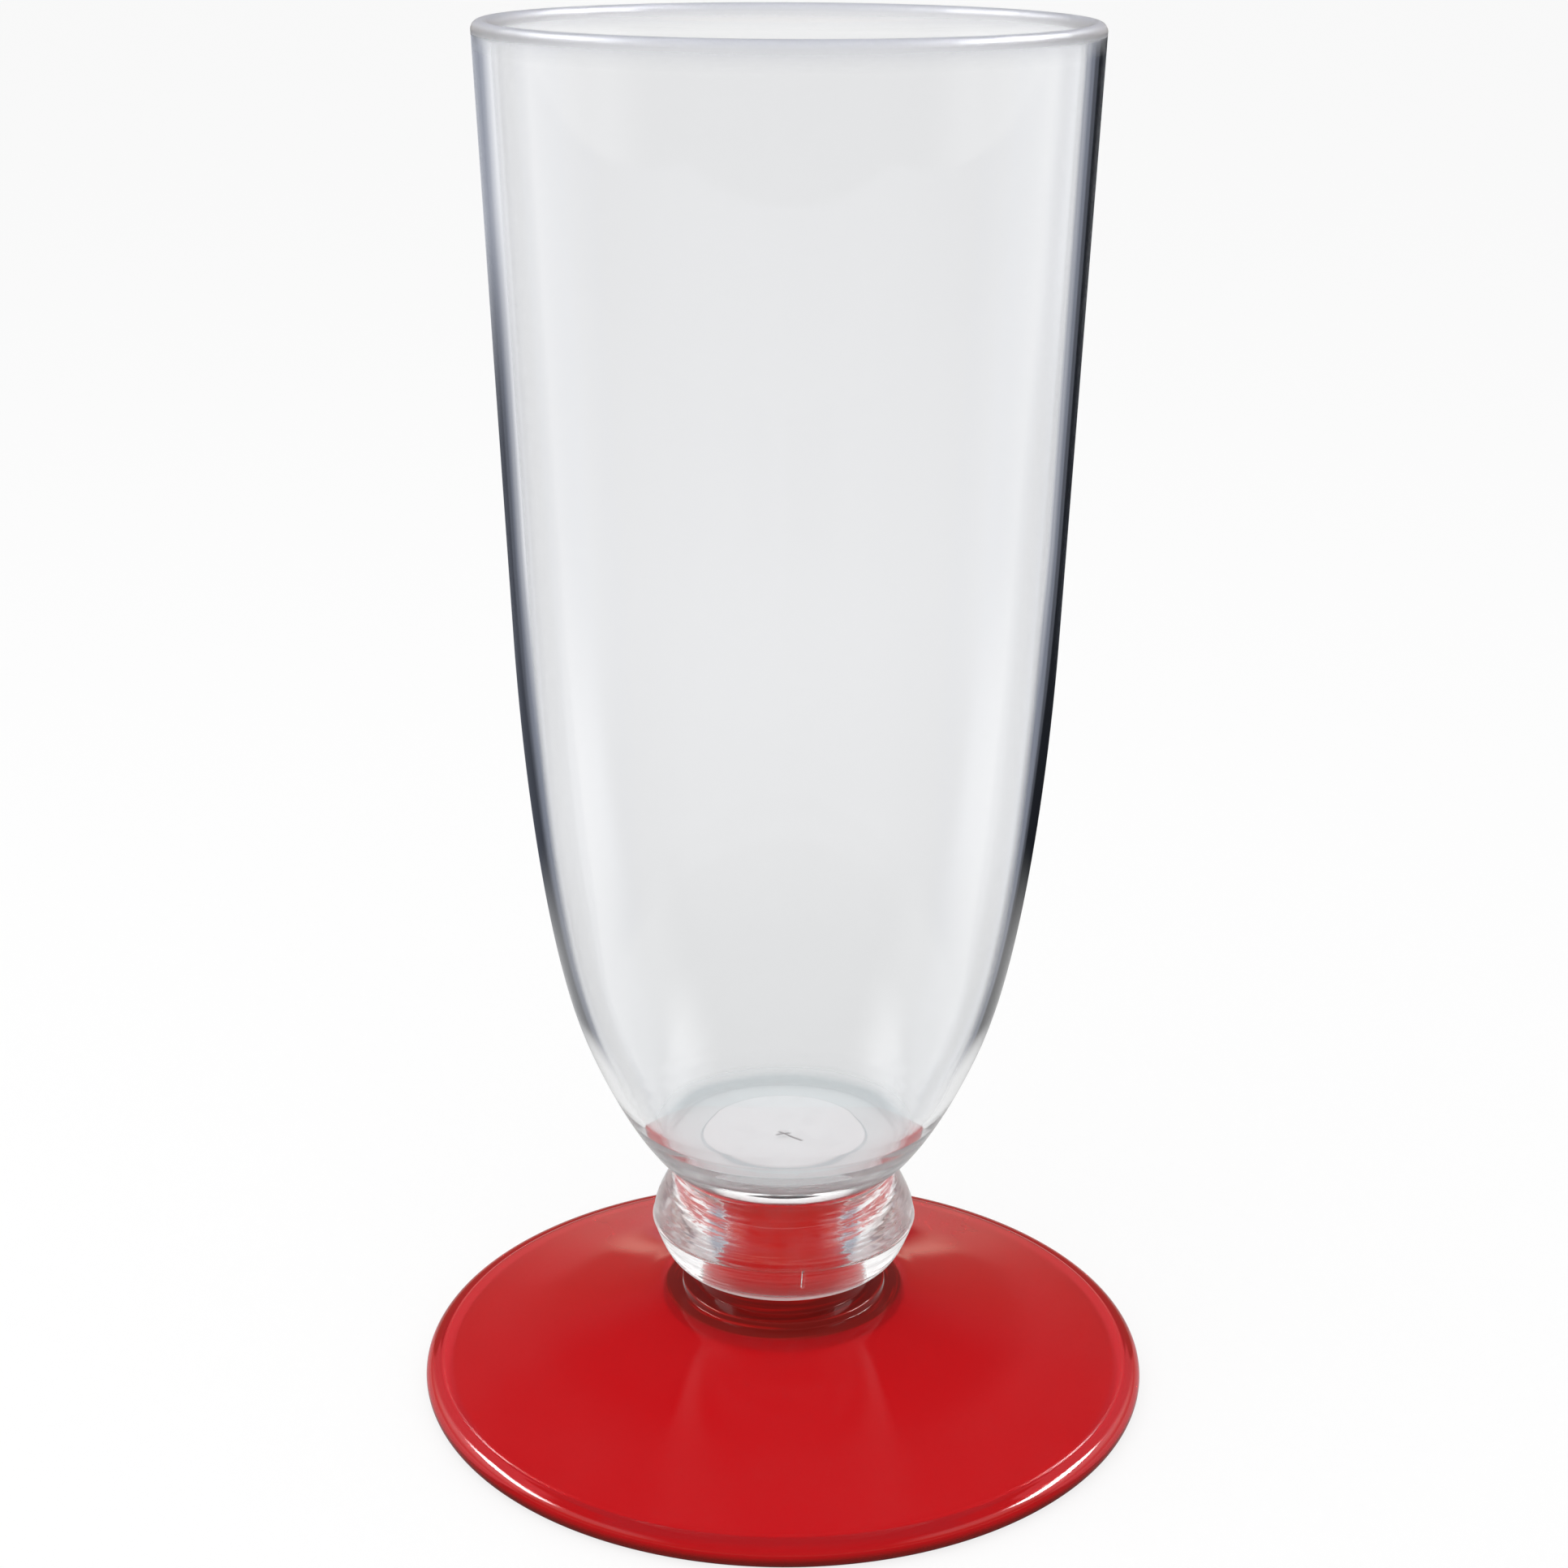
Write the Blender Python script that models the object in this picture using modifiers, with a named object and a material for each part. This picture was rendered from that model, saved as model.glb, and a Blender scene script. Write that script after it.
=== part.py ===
"""Plastic champagne flute of three moulded pieces: a red foot, a clear knop and a clear tapered bowl.

Metres, +Z up. The foot rests on z = 0 and every piece is turned about the Z axis. The foot's tubular post goes up
through the knop, and the peg under the bowl's floor plugs into that post, so the knop is held between the two.
Each profile is a list of (radius, height) points, with the height above the piece's own seat.
"""

import math

import bpy

MM = 0.001

# Fits
SEAT_GAP = 0.3 * MM
PEG_CLEARANCE = 0.3 * MM
POST_CLEARANCE = 0.3 * MM
GRIP_CLEARANCE = 0.15 * MM
PEG_END_ROOM = 0.5 * MM
POST_TIP_ROOM = 0.8 * MM

# Foot: a hollow cone with a round rim
FOOT_DIAMETER = 76.2 * MM
FOOT_WALL = 2.0 * MM
FOOT_RIM_ROUND = 1.4 * MM
FOOT_RING_WIDTH = 1.6 * MM
FOOT_SKIRT_HEIGHT = 1.1 * MM
FOOT_SLOPE_AT_RIM = math.radians(14.0)
FOOT_SLOPE_AT_HUB = math.radians(21.0)
SLOPE_EASE = 8.0 * MM

# Hub of the foot: a ledge, a low collar and a neck, each stepping in from the one below
HUB_HEIGHT = 10.3 * MM
HUB_LEDGE = 1.6 * MM
COLLAR_HEIGHT = 0.8 * MM
COLLAR_LEDGE = 1.7 * MM
NECK_HEIGHT = 2.1 * MM
NECK_SHOULDER = 1.4 * MM

# Post on the neck
POST_WALL = 1.5 * MM
POST_TIP_CHAMFER = 0.4 * MM
GRIP_RING_START = 3.2 * MM
GRIP_RING_PITCH = 4.1 * MM
GRIP_RING_WIDTH = 0.8 * MM

# Knop: two mould halves that meet in a slight edge at the waist
KNOP_DIAMETER = 27.4 * MM
KNOP_HEIGHT = 11.4 * MM
KNOP_WAIST_HEIGHT = 4.9 * MM
KNOP_TOP_DIAMETER = 23.0 * MM
KNOP_TOP_EASE = 3.0 * MM
KNOP_EDGE_ROUND = 0.5 * MM
KNOP_UPPER_EASE = 2.0 * MM
KNOP_LOWER_EASE = 4.0 * MM
KNOP_LOWER_LEAN = math.radians(17.0)
KNOP_SEAT_WIDTH = 1.1 * MM
KNOP_SEAT_EASE = 2.5 * MM

# Bowl: a straight tapered wall above the shoulder, a long curve to the belly and a tighter one to the seat
BOWL_HEIGHT = 114.8 * MM
RIM_DIAMETER = 58.1 * MM
BOWL_WALL = 1.7 * MM
SHOULDER_DIAMETER = 53.4 * MM
SHOULDER_HEIGHT = 56.8 * MM
SHOULDER_EASE = 14.9 * MM
BELLY_DIAMETER = 41.3 * MM
BELLY_HEIGHT = 14.7 * MM
BELLY_LEAN = math.radians(20.7)
BELLY_WALL = 1.3 * MM
BELLY_EASE_UP = 9.6 * MM
BELLY_EASE_DOWN = 9.0 * MM
BOWL_SEAT_DIAMETER = 23.2 * MM
BOWL_SEAT_EASE = 1.6 * MM
FLOOR_THICKNESS = 2.6 * MM
FLOOR_DIAMETER = 24.4 * MM
FLOOR_EASE = 0.7 * MM
FLOOR_CURVE_RISE = 8.6 * MM
FLOOR_PAD_DIAMETER = 17.4 * MM
FLOOR_PAD_RISE = 0.25 * MM

# Peg under the bowl
PEG_DIAMETER = 11.6 * MM
PEG_LENGTH = 11.0 * MM
PEG_TIP_CHAMFER = 0.5 * MM

# Roundness of the solids
TURN_STEPS = 48
CURVE_STEPS = 9
ROUND_STEPS = 5
WELD_DISTANCE = 0.01 * MM
SMOOTH_ANGLE = math.radians(30.0)

# Radii, from the peg outwards
peg_radius = PEG_DIAMETER / 2
socket_radius = peg_radius + PEG_CLEARANCE
post_radius = socket_radius + POST_WALL
bore_radius = post_radius + POST_CLEARANCE
neck_radius = post_radius + NECK_SHOULDER
collar_radius = neck_radius + COLLAR_LEDGE
hub_radius = collar_radius + HUB_LEDGE

# Heights, from the ground up
collar_top = HUB_HEIGHT + COLLAR_HEIGHT
neck_top = collar_top + NECK_HEIGHT
knop_seat = neck_top + SEAT_GAP
knop_top = knop_seat + KNOP_HEIGHT
post_top = knop_top - POST_TIP_ROOM
bowl_seat = knop_top + SEAT_GAP
socket_floor = bowl_seat - PEG_LENGTH - PEG_END_ROOM

# Colour, roughness and alpha of the two plastics
CLEAR = (0.86, 0.88, 0.90), 0.04, 0.35
RED = (0.55, 0.012, 0.014), 0.10, 1.0


def clear_scene():
    """Removes every object that the file already holds."""
    for old in list(bpy.data.objects):
        bpy.data.objects.remove(old, do_unlink=True)


def plastic(name, colour, roughness, alpha):
    """A plain moulded plastic."""
    material = bpy.data.materials.new(name)
    material.use_nodes = True
    shader = material.node_tree.nodes["Principled BSDF"]
    shader.inputs["Base Color"].default_value = (*colour, 1.0)
    shader.inputs["Roughness"].default_value = roughness
    shader.inputs["Metallic"].default_value = 0.0
    shader.inputs["Alpha"].default_value = alpha
    return material


def away(point, angle, distance):
    """The point a distance away, in the direction of an angle measured up from the +radius direction."""
    return point[0] + distance * math.cos(angle), point[1] + distance * math.sin(angle)


def bend(start, start_handle, end_handle, end):
    """A cubic Bezier stretch from start to end, both included."""
    points = []
    for i in range(CURVE_STEPS + 1):
        t = i / CURVE_STEPS
        weights = (1 - t) ** 3, 3 * t * (1 - t) ** 2, 3 * t * t * (1 - t), t ** 3
        corners = start, start_handle, end_handle, end
        radius = sum(weight * corner[0] for weight, corner in zip(weights, corners))
        height = sum(weight * corner[1] for weight, corner in zip(weights, corners))
        points.append((radius, height))
    return points


def arc(centre, radius, start, end, steps=ROUND_STEPS):
    """A round stretch about a centre between two angles, both ends included."""
    return [away(centre, start + (end - start) * i / steps, radius) for i in range(steps + 1)]


def turned(name, profile, seat, parent, material, collection):
    """Spins a profile that starts and ends on the Z axis, or closes on itself, into one solid on its seat."""
    closed = profile[0] == profile[-1]
    points = profile[:-1] if closed else profile
    edges = [(i, i + 1) for i in range(len(points) - 1)]
    if closed:
        edges.append((len(points) - 1, 0))
    outline = bpy.data.meshes.new(name + "_outline")
    outline.from_pydata([(radius, 0.0, height) for radius, height in points], edges, [])
    lathe = bpy.data.objects.new(name + "_lathe", outline)
    collection.objects.link(lathe)
    screw = lathe.modifiers.new("turn", "SCREW")
    screw.steps = TURN_STEPS
    screw.render_steps = TURN_STEPS
    screw.use_merge_vertices = True
    screw.merge_threshold = WELD_DISTANCE
    depsgraph = bpy.context.evaluated_depsgraph_get()
    mesh = bpy.data.meshes.new_from_object(lathe.evaluated_get(depsgraph))
    bpy.data.objects.remove(lathe, do_unlink=True)
    mesh.name = name
    mesh.shade_smooth()
    mesh.set_sharp_from_angle(angle=SMOOTH_ANGLE)
    mesh.materials.append(material)
    piece = bpy.data.objects.new(name, mesh)
    collection.objects.link(piece)
    piece.parent = parent
    piece.location.z = seat - (parent.matrix_world.translation.z if parent else 0.0)
    bpy.context.view_layer.update()
    return piece


def grip_rings():
    """Low rings round the post, from the top one's upper edge to the bottom one's lower edge."""
    crest = bore_radius - GRIP_CLEARANCE
    half = GRIP_RING_WIDTH / 2
    room = post_top - POST_TIP_CHAMFER - half - neck_top - GRIP_RING_START
    points = []
    for i in reversed(range(math.ceil(room / GRIP_RING_PITCH))):
        middle = neck_top + GRIP_RING_START + i * GRIP_RING_PITCH
        points += [
            (post_radius, middle + half),
            (crest, middle + half / 3),
            (crest, middle - half / 3),
            (post_radius, middle - half),
        ]
    return points


def post_profile():
    """The tubular post: up its socket from the socket's floor, over the tip and down the outside."""
    tip = [
        (0.0, socket_floor),
        (socket_radius, socket_floor),
        (socket_radius, post_top - POST_TIP_CHAMFER),
        (socket_radius + POST_TIP_CHAMFER, post_top),
        (post_radius - POST_TIP_CHAMFER, post_top),
        (post_radius, post_top - POST_TIP_CHAMFER),
    ]
    return tip + grip_rings()


def foot_profile():
    """The whole foot: post, stepped hub, sloping top, round rim, resting ring and hollow underside."""
    hub_steps = [
        (post_radius, neck_top),
        (neck_radius, neck_top),
        (neck_radius, collar_top),
        (collar_radius, collar_top),
        (collar_radius, HUB_HEIGHT),
    ]
    rim_centre = FOOT_DIAMETER / 2 - FOOT_RIM_ROUND, FOOT_RIM_ROUND
    rim = arc(rim_centre, FOOT_RIM_ROUND, math.pi / 2 - FOOT_SLOPE_AT_RIM, -math.pi / 2, 2 * ROUND_STEPS)
    hub_edge = hub_radius, HUB_HEIGHT
    slope = bend(
        hub_edge,
        away(hub_edge, -FOOT_SLOPE_AT_HUB, SLOPE_EASE),
        away(rim[0], math.pi - FOOT_SLOPE_AT_RIM, SLOPE_EASE),
        rim[0],
    )
    skirt = rim_centre[0] - FOOT_RING_WIDTH, FOOT_SKIRT_HEIGHT
    hub_underside = hub_radius, HUB_HEIGHT - FOOT_WALL
    hollow = bend(
        skirt,
        away(skirt, math.pi - FOOT_SLOPE_AT_RIM, SLOPE_EASE),
        away(hub_underside, -FOOT_SLOPE_AT_HUB, SLOPE_EASE),
        hub_underside,
    )
    hub_ceiling = min(neck_top, socket_floor) - FOOT_WALL
    hub_hollow = [
        (peg_radius, hub_ceiling),
        (0.0, hub_ceiling),
    ]
    return post_profile() + hub_steps + slope + rim[1:] + [(skirt[0], 0.0)] + hollow + hub_hollow


def knop_profile():
    """The bead: over its flat top, down its bulging outside, along its seat and up its bore."""
    waist = KNOP_DIAMETER / 2, KNOP_WAIST_HEIGHT
    top_edge = KNOP_TOP_DIAMETER / 2, KNOP_HEIGHT - KNOP_EDGE_ROUND
    seat_edge = bore_radius + KNOP_SEAT_WIDTH, 0.0
    fall = math.atan2(waist[1] - top_edge[1], waist[0] - top_edge[0])
    top = arc((top_edge[0] - KNOP_EDGE_ROUND, top_edge[1]), KNOP_EDGE_ROUND, math.pi / 2, 0.0)
    upper = bend(
        top_edge,
        away(top_edge, fall, KNOP_TOP_EASE),
        (waist[0], waist[1] + KNOP_UPPER_EASE),
        waist,
    )
    lower = bend(
        waist,
        away(waist, -math.pi / 2 - KNOP_LOWER_LEAN, KNOP_LOWER_EASE),
        (seat_edge[0] + KNOP_SEAT_EASE, 0.0),
        seat_edge,
    )
    start = bore_radius, KNOP_HEIGHT
    return [start] + top + upper[1:] + lower[1:] + [(bore_radius, 0.0), start]


def bowl_profile():
    """The cup: from the middle of its floor up the inside, over the rim, down the outside and round the peg."""
    rim = RIM_DIAMETER / 2, BOWL_HEIGHT
    shoulder = SHOULDER_DIAMETER / 2, SHOULDER_HEIGHT
    belly = BELLY_DIAMETER / 2, BELLY_HEIGHT
    draft = math.atan2(shoulder[1] - rim[1], shoulder[0] - rim[0])
    lean = -math.pi / 2 - BELLY_LEAN

    def side(shoulder_inset, belly_inset, belly_ease_down, foot, foot_ease):
        """One face of the wall, set in from the outside, from the shoulder down to the floor or the seat."""
        upper_end = away(shoulder, draft - math.pi / 2, shoulder_inset)
        lower_end = away(belly, lean - math.pi / 2, belly_inset)
        upper = bend(
            upper_end,
            away(upper_end, draft, SHOULDER_EASE),
            away(lower_end, lean, -BELLY_EASE_UP),
            lower_end,
        )
        lower = bend(
            lower_end,
            away(lower_end, lean, belly_ease_down),
            (foot[0] + foot_ease, foot[1]),
            foot,
        )
        return upper + lower[1:]

    inside = side(BOWL_WALL, BELLY_WALL, FLOOR_CURVE_RISE, (FLOOR_DIAMETER / 2, FLOOR_THICKNESS), FLOOR_EASE)
    outside = side(0.0, 0.0, BELLY_EASE_DOWN, (BOWL_SEAT_DIAMETER / 2, 0.0), BOWL_SEAT_EASE)
    half_wall = BOWL_WALL / 2
    lip = arc((rim[0] - half_wall, rim[1] - half_wall), half_wall, math.pi, 0.0, 2 * ROUND_STEPS)
    peg = [
        (peg_radius, 0.0),
        (peg_radius, PEG_TIP_CHAMFER - PEG_LENGTH),
        (peg_radius - PEG_TIP_CHAMFER, -PEG_LENGTH),
        (0.0, -PEG_LENGTH),
    ]
    pad_top = FLOOR_THICKNESS + FLOOR_PAD_RISE
    pad = [
        (0.0, pad_top),
        (FLOOR_PAD_DIAMETER / 2 - FLOOR_PAD_RISE, pad_top),
        (FLOOR_PAD_DIAMETER / 2, FLOOR_THICKNESS),
    ]
    return pad + inside[::-1] + lip + outside + peg


def build():
    """The three pieces, each seated on the one below it."""
    clear_scene()
    flute = bpy.data.collections.new("champagne_flute")
    bpy.context.scene.collection.children.link(flute)
    base = turned("base", foot_profile(), 0.0, None, plastic("red_plastic", *RED), flute)
    knop = turned("knop", knop_profile(), knop_seat, base, plastic("knop_plastic", *CLEAR), flute)
    turned("bowl", bowl_profile(), bowl_seat, knop, plastic("bowl_plastic", *CLEAR), flute)


build()
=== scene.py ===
"""Looks of the plastic champagne flute: clear bowl and knop, translucent red foot, on a pale studio floor.

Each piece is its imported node's own section, smoothed, with rounded edges, and turned about the Z axis on a
fine grid. Sizes are metres in the frame's own coordinates.
"""

import math

import bpy
import numpy as np
from mathutils import Matrix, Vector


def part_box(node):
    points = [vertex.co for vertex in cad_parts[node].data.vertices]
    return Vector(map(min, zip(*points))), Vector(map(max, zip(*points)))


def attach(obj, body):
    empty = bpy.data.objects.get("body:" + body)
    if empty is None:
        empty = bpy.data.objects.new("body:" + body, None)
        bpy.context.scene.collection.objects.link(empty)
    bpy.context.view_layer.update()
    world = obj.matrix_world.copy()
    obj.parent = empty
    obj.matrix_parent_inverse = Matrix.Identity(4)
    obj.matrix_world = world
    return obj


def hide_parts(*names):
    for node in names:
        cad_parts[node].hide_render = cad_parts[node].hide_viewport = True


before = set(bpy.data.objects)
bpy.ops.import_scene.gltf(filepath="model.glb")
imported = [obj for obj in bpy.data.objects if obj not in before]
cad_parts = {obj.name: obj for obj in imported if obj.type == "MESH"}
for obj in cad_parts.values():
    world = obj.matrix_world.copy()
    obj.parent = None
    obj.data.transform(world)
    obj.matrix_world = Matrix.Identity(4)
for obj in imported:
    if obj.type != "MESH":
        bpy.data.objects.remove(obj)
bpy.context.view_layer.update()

MM = 0.001

# Grid of the turned pieces
TURN_STEPS = 288
KNOP_STEPS = 240
GRAIN = 1e-6
CORNER = math.radians(25.0)
LONG_SIDE = 2.5
ROW_TURN = math.radians(5.0)
BASE_TURN = math.radians(10.0)
BOWL_ROW = 2.0 * MM
KNOP_ROW = 0.12 * MM
BASE_ROW = 1.5 * MM
EDGE_ROUND = 0.15 * MM
KNOP_ROUND = 0.12 * MM
ROUND_SHARE = 0.3
ROW_CLEAR = 0.3
BORE_DEPTH = 0.6 * MM
BORE_ROWS = 8

# Stretches with finer rows: how far they go either way, and their step
CORNER_ROWS = (6.0 * MM, 0.2 * MM)
GATE_ROWS = (4.0 * MM, 0.1 * MM)
RIM_LINE_ROWS = (1.2 * MM, 0.08 * MM)

# Angles at the gate nick: how far they go either way, and how many there are
NICK_SPAN = math.radians(2.0)
NICK_STEPS = 25

# Marks of the moulds
PARTING_RISE = 0.10 * MM
PARTING_WIDTH = 0.12 * MM
NICK_ANGLE = math.radians(-81.6)
NICK_RISE = 0.16 * MM
NICK_WIDTH = 0.18 * MM
NICK_BELOW = 2.2 * MM
NICK_ABOVE = 0.4 * MM
MARKS_OFF_BORE = 1.0 * MM
MARK_TAPER = 0.3 * MM
TURNING_RISE = 0.005 * MM
# Each wave: its length in mm, its phase, and how often and how far the phase drifts round the piece
TURNING_WAVES = ((0.47, 0.0, 3, 1.2), (0.64, 2.0, 2, 2.1), (0.91, 4.0, 5, 1.6))
# Each cut: its direction, and how far it runs back and ahead
GATE_CUTS = (
    (math.radians(-40.0), 0.9 * MM, 2.6 * MM),
    (math.radians(15.0), 1.0 * MM, 0.8 * MM),
)
GATE_CUT_DEPTH = 0.09 * MM
GATE_CUT_WIDTH = 0.11 * MM
STUB_RISE = 0.10 * MM
STUB_REACH = 0.7 * MM
GATE_REACH = 5.0 * MM
THIN_DEPTH = 0.12 * MM
THIN_RISE = 4.5 * MM
THIN_SPREAD = 4.5 * MM
RIM_LINE = 36.4 * MM
RIM_LINE_DEPTH = 0.06 * MM
RIM_LINE_WIDTH = 0.20 * MM

# Where to look for places on the sections
CORNER_REACH = 11.0 * MM
CORNER_MIDDLE = 12.0 * MM
CORNER_RISE = 1.0 * MM
SEAT_REACH = 10.0 * MM
POST_BELOW = 0.3 * MM
RIM_BREADTH = 2.0 * MM
RIM_DROP = 1.5 * MM

# Finishes. A spread is where a step over soft noise starts and ends, and a bump is its strength and its depth
LEVEL_PLANE = (1.0, 1.0, 0.0)
PLASTIC_IOR = 1.57
MATT_SHARE = "matt_share"
CUT_SHARE = "cut_share"
CLOUD_SPREAD = (0.3, 0.7)
CLOUD_DETAIL = 4.0
MARK_DETAIL = 3.0

# Finish of the bowl
BOWL_CLEAR = (0.969, 0.972, 0.977, 1.0)
# Painted grey shade: the clear plastic is greyer towards the bottom of the bowl
BOWL_LOW_SHADE = (0.935, 0.94, 0.945, 1.0)
BOWL_LOW_SHADE_EDGE = (56.0 * MM, 40.0 * MM)
BOWL_MATT = (0.82, 0.835, 0.845, 1.0)
# Painted shade on the floor's haze: a darker ring outside the round pad and a darker thin line round it
BOWL_RING_SHADE = (0.74, 0.775, 0.785, 1.0)
PAD_SHADE_LINE = (0.70, 0.76, 0.78, 1.0)
PAD_REACH = 8.6 * MM
PAD_EDGE = 0.15 * MM
PAD_SHADE_LINE_EDGE = (0.25 * MM, 0.05 * MM)
# Painted shade: the rim's haze is a dark bluish grey, a painted dark line round the lip
BOWL_RIM_SHADE = (0.42, 0.45, 0.57, 1.0)
BOWL_RIM_SHADE_RISES = np.array([-3.0, -1.0]) * MM
# Painted shade in the gate's cuts
CUT_SHADE_GREY = (0.35, 0.35, 0.36, 1.0)
HAZE_RISES = np.array([0.2, 0.6, 1.5, 3.0]) * MM
HAZE_SHARES = (1.0, 0.45, 0.12, 0.0)
HAZE_GRAINS = 240.0
HAZE_RANGE = (0.96, 1.04)
RIM_RISES = np.array([-1.2, -0.5, 0.0]) * MM
RIM_SHARES = (0.0, 0.4, 0.6)
RIM_ROUGH = 0.45
RIM_ROUGH_RISES = np.array([-1.6, -0.8]) * MM
SEAT_RISES = np.array([0.05, 0.2, 1.0]) * MM
SEAT_SHARES = (0.92, 0.1, 0.0)
BOWL_GRAINS = 90.0
BOWL_SPREAD = (0.35, 0.75)
BOWL_ROUGH = (0.0, 0.03)
BOWL_RIPPLES = (60.0, 60.0, 22.0)
BOWL_BUMP = (0.25, 0.02 * MM)

# Finish of the knop
KNOP_CLEAR = (0.985, 0.98, 0.975, 1.0)
KNOP_GRAINS = 500.0
KNOP_HAZE = (0.985, 1.0)
# Painted highlight: a pale matt edge at the knop's seat
KNOP_SEAT_HIGHLIGHT_HAZE = 0.6
KNOP_SEAT_HIGHLIGHT_RISES = np.array([1.7, 1.0]) * MM
KNOP_SCUFFS = (160.0, 160.0, 2600.0)
KNOP_SPREAD = (0.4, 0.7)
KNOP_ROUGH = (0.0, 0.06)
KNOP_BUMP = (0.5, 0.03 * MM)

# Finish of the foot
FOOT_RED = (0.645, 0.0045, 0.0085, 1.0)
# Painted shade: the rim is a little darker and browner than the cone, and the skirt under it darker still
RIM_SHADE_RED = (0.56, 0.007, 0.010, 1.0)
RIM_SHADE_EDGE = np.array([-0.3, 0.5]) * MM
SKIRT_SHADE_RED = (0.13, 0.014, 0.010, 1.0)
SKIRT_SHADE_EDGE = (2.0 * MM, 0.9 * MM)
POST_RED = (0.62, 0.006, 0.004, 1.0)
POST_EDGE = 0.2 * MM
# Painted shade: the thick hub is dark, with uneven lighter rings
HUB_SHADE_DARK = (0.23, 0.014, 0.011, 1.0)
HUB_SHADE_RED = (0.50, 0.014, 0.012, 1.0)
HUB_REACH = 12.3 * MM
HUB_EDGE = 0.5 * MM
HUB_RINGS = (1500.0, 1500.0, 0.0)
HUB_DRIFT = (90.0, 90.0, 90.0)
HUB_SPREAD = (0.5, 0.72)
FOOT_CLEAR = 0.5
HUB_CLEAR = 0.1
FOOT_GLOSS = 0.05
FOOT_GRAINS = 120.0
FOOT_ROUGH = (0.06, 0.13)
CONE_ROUGH = 0.14
CONE_ROUGH_EDGE = (22.0 * MM, 28.0 * MM)
FOOT_RIPPLES = 110.0
FOOT_BUMP = (0.2, 0.02 * MM)

# Floor of the studio
WHITE = (1.0, 1.0, 1.0, 1.0)
FLOOR_SIDE = 3.0
FLOOR_PAINT = (0.9, 0.9, 0.9, 1.0)
FLOOR_GLOW = 0.8
FLOOR_PATCH = (0.0, 0.04, 0.0)
FLOOR_PATCH_EDGE = (0.045, 0.062)
FLOOR_SHEEN = (0.6, 0.6, 0.6, 1.0)
FLOOR_SHEEN_EDGE = (0.10, 0.16)
FLOOR_SHADE = (0.10, 0.10, 0.10, 1.0)
FLOOR_SHADE_EDGE = (0.0, -0.03)
CARD_ASIDE = 0.028
CARD_BEHIND = 0.010
CARD_RED = 0.90
CARD_BLUE = 1.28
# Bearings in degrees, with the grey at each
RIGHT_TONES = (
    (-45.0, 0.4), (-12.0, 0.4), (-8.0, 0.012), (29.0, 0.014), (31.0, 0.24), (40.0, 0.26),
    (44.0, 0.9), (70.0, 0.9), (90.0, 0.4),
)
LEFT_TONES = (
    (-45.0, 0.4), (-12.0, 0.4), (-8.0, 0.6), (0.0, 0.40), (6.0, 0.13), (12.0, 0.07),
    (27.0, 0.05), (30.0, 0.20), (37.0, 0.28), (42.0, 0.9), (70.0, 0.9), (90.0, 0.4),
)
FAR_LEFT_TONES = (
    (-45.0, 0.4), (-12.0, 0.4), (-8.0, 0.9), (5.0, 0.85), (12.0, 0.62), (19.0, 0.36),
    (24.0, 0.25), (29.0, 0.30), (34.0, 0.6), (39.0, 0.9), (70.0, 0.9), (90.0, 0.4),
)
FAR_EDGE = (0.42, 0.95)
NEAR_EDGE = (0.17, 0.36)
NEAR_SPREAD = 0.78
FRONT_EDGE = (-0.02, -0.05)
FRONT_NEAR = (0.08, 0.08, 0.08, 1.0)
FRONT_FAR = (0.38, 0.38, 0.40, 1.0)
FRONT_FAR_EDGE = (0.12, 0.3)

# Room of the studio. Edges and bands are over the parts of a ray's direction: X aside, Y back and Z up
ROOM_LEVEL = 0.14
INNER_LEVEL = 0.62
INNER_EDGE = (0.75, 0.5)
INNER_BEHIND = (-0.6, -0.1)
BACK_LEVEL = 1.1
BACK_BAND = ((0.24, 0.32), (0.56, 0.44))
LOW_LEVEL = 0.35
LOW_EDGE = (0.25, 0.12)
LOW_BEHIND = (0.0, 0.3)
WALL_LEVEL = 0.12
WALL_EDGE = (0.62, 0.35)
HORIZON_LEVEL = 0.9
HORIZON_BAND = ((-0.005, 0.05), (0.10, 0.06))
PANEL_LEVEL = 1.4
PANEL_BAND = ((0.2, 0.4), (0.75, 0.6))
PANEL_ASIDE = (0.45, 0.7)
ROOM_WARMTH = (1.0, 0.82, 0.66, 1.0)
WARM_EDGE = (0.5, 0.3)
SOFT_LEVEL = 0.8
# Each window: the direction of its middle, the direction across it, and how bright it is
WINDOWS = (
    ((0.73, 0.20, 0.65), (-0.575, -0.297, 0.762), 75.0),
    ((-0.73, 0.20, 0.65), (0.575, -0.297, 0.762), 48.0),
)
WINDOW_REACH = (0.92, 0.97)
WINDOW_BREADTH = (0.10, 0.04)
# Bounces are counted in whole numbers: under the first is none, and under the second at most one
NO_BOUNCE = 0.5
ONE_BOUNCE = 1.5
LAMP_POWER = 2.0
LAMP_SIZE = 0.8
LAMP_PLACE = (-0.1, -0.2, 0.6)
LAMP_TURN = (math.radians(18.0), math.radians(-9.0), 0.0)
BOUNCES = 24
MIRROR_BOUNCES = 12
GLOSS_BLUR = 0.0

# Camera
CAMERA_BACK = 261.1 * MM
CAMERA_HEIGHT = 154.85 * MM
CAMERA_PITCH = math.radians(18.783)
CAMERA_ROLL = math.radians(0.26)
CAMERA_LENS = 63.24
CAMERA_SENSOR = 36.0
CAMERA_SHIFT = -0.0011
CAMERA_NEAR = 0.01


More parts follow.
